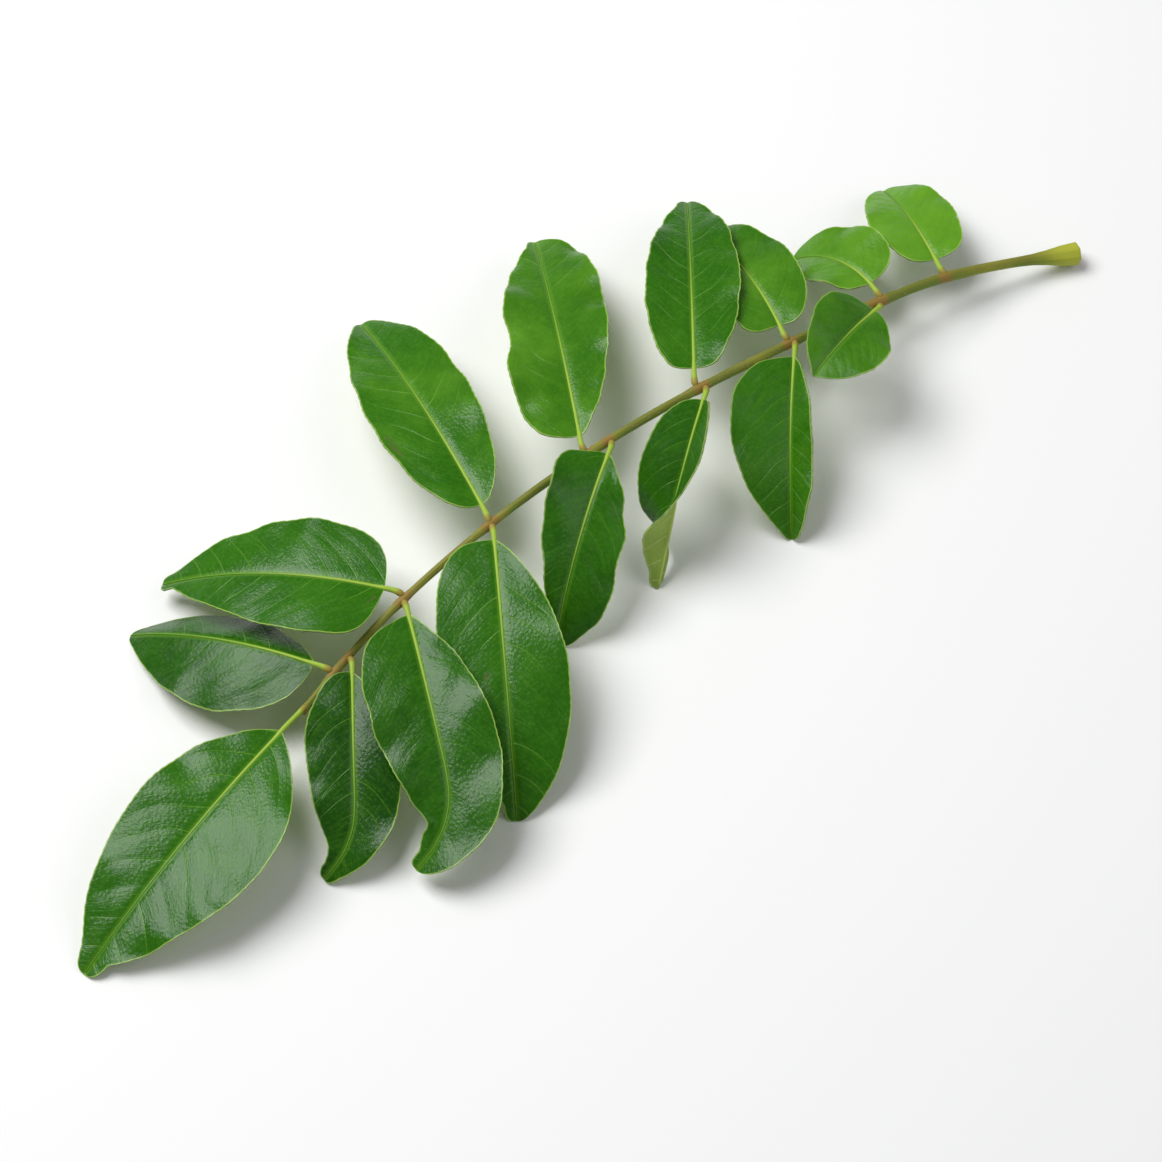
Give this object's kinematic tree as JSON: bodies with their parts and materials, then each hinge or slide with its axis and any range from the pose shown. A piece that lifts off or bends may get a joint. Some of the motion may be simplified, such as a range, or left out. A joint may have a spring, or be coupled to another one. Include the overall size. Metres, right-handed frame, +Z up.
{
  "type": "curry leaf sprig",
  "caption": "Fresh curry leaf sprig lying on a surface: a slim arched stalk with a swollen cut base, paired dark green leaflets and a large terminal leaflet.",
  "frame": {"origin": "middle of the sprig's footprint, on the surface that it lies on", "axes": "+X along the stalk towards its cut base, -X towards the terminal leaflet, +Z up"},
  "size_m": [0.2272, 0.1012, 0.0203],
  "materials": {
    "leaflet": "satin dark green upper side, matt pale green underside",
    "stalk": "matt olive green, browner on its upper side"
  },
  "bodies": {
    "root": {"rachis": "stalk", "terminal_leaflet": "leaflet", "left_leaflet_1": "leaflet", "left_leaflet_2": "leaflet", "left_leaflet_3": "leaflet", "left_leaflet_4": "leaflet", "left_leaflet_5": "leaflet", "left_leaflet_6": "leaflet", "left_leaflet_7": "leaflet", "left_leaflet_8": "leaflet", "right_leaflet_1": "leaflet", "right_leaflet_2": "leaflet", "right_leaflet_3": "leaflet", "right_leaflet_4": "leaflet", "right_leaflet_5": "leaflet", "right_leaflet_6": "leaflet", "right_leaflet_7": "leaflet"}
  },
  "joints": []
}
